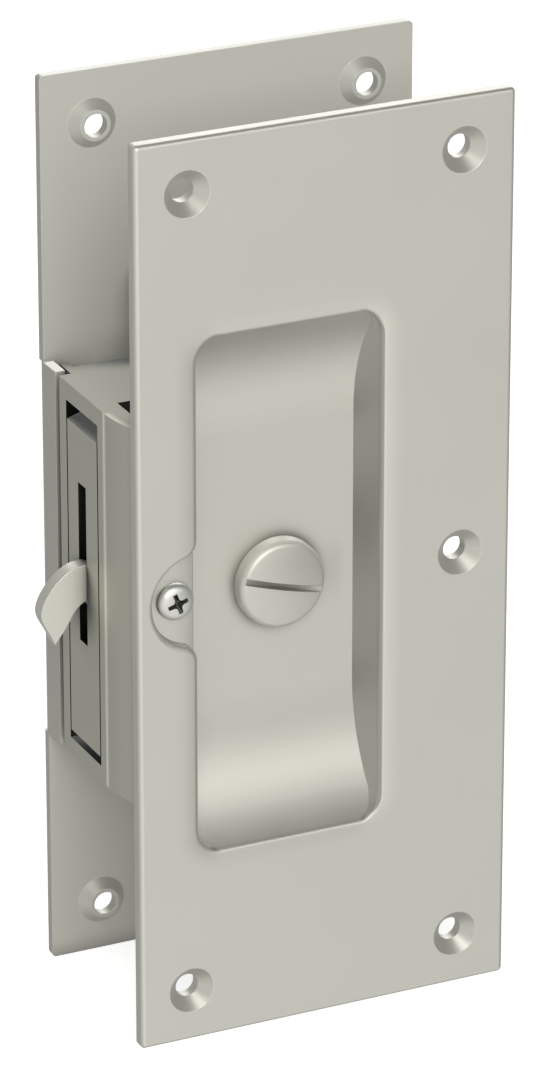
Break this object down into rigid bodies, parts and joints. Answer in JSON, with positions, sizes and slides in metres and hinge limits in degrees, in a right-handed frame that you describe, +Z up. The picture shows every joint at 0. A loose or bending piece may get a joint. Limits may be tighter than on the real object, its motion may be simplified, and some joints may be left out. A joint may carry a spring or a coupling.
{
  "type": "pocket door lock",
  "caption": "Privacy lock set for a sliding pocket door: face plates with finger cups, coin turn, thumb turn, hook bolt and flush edge pull, telescoping to suit the door.",
  "frame": {"origin": "centre of the front plate's inner face, where it bears on the door", "axes": "+X along the plates away from the door edge, +Y through the door to the rear plate, +Z up"},
  "size_m": [0.0782, 0.0413, 0.165],
  "materials": {
    "satin_nickel": "satin nickel plate on brass",
    "plated_steel": "blackened steel",
    "spring_steel": "spring steel"
  },
  "bodies": {
    "front": {"front_plate": "satin_nickel", "front_housing": "satin_nickel", "case_plate_front": "plated_steel", "case_plate_rear": "plated_steel", "case_spacers": "plated_steel", "detent_spring": "spring_steel", "pull_spring": "spring_steel", "hook_pivot_pin": "plated_steel", "pull_pivot_pin": "plated_steel", "case_screw": "satin_nickel"},
    "turn": {"coin_turn": "satin_nickel", "coin_turn_washer": "plated_steel", "coin_turn_clip": "spring_steel", "spindle": "plated_steel", "turn_hub": "plated_steel"},
    "hook": {"hook_bolt": "satin_nickel"},
    "pull": {"edge_pull": "satin_nickel"},
    "rear": {"rear_plate": "satin_nickel"},
    "thumb": {"thumb_turn": "satin_nickel", "thumb_turn_washer": "plated_steel", "thumb_turn_clip": "spring_steel"}
  },
  "joints": [
    {"name": "coin_turn_swing", "type": "hinge", "parent": "front", "child": "turn", "pos_m": [-0.0041, 0, -0.00385], "axis": [0, -1, 0], "range_deg": [0, 90], "deforming": ["detent_spring"]},
    {"name": "hook_swing", "type": "hinge", "parent": "front", "child": "hook", "pos_m": [-0.02692, 0, -0.014], "axis": [0, -1, 0], "range_deg": [-64.3, 0]},
    {"name": "edge_pull_swing", "type": "hinge", "parent": "front", "child": "pull", "pos_m": [-0.03213, 0, -0.031], "axis": [0, -1, 0], "range_deg": [0, 30], "stiffness_Nm_per_rad": 0.03, "springref_deg": -17.19, "deforming": ["pull_spring"]},
    {"name": "door_thickness_slide", "type": "slide", "parent": "front", "child": "rear", "axis": [0, 1, 0], "range_m": [-0.00158, 0.00795]},
    {"name": "thumb_turn_swing", "type": "hinge", "parent": "rear", "child": "thumb", "pos_m": [-0.0041, 0, -0.00385], "axis": [0, -1, 0], "range_deg": [0, 90]}
  ],
  "couplings": [
    {"joint": "hook_swing", "follows": "coin_turn_swing", "ratio": -0.71429},
    {"joint": "thumb_turn_swing", "follows": "coin_turn_swing", "ratio": 1}
  ]
}
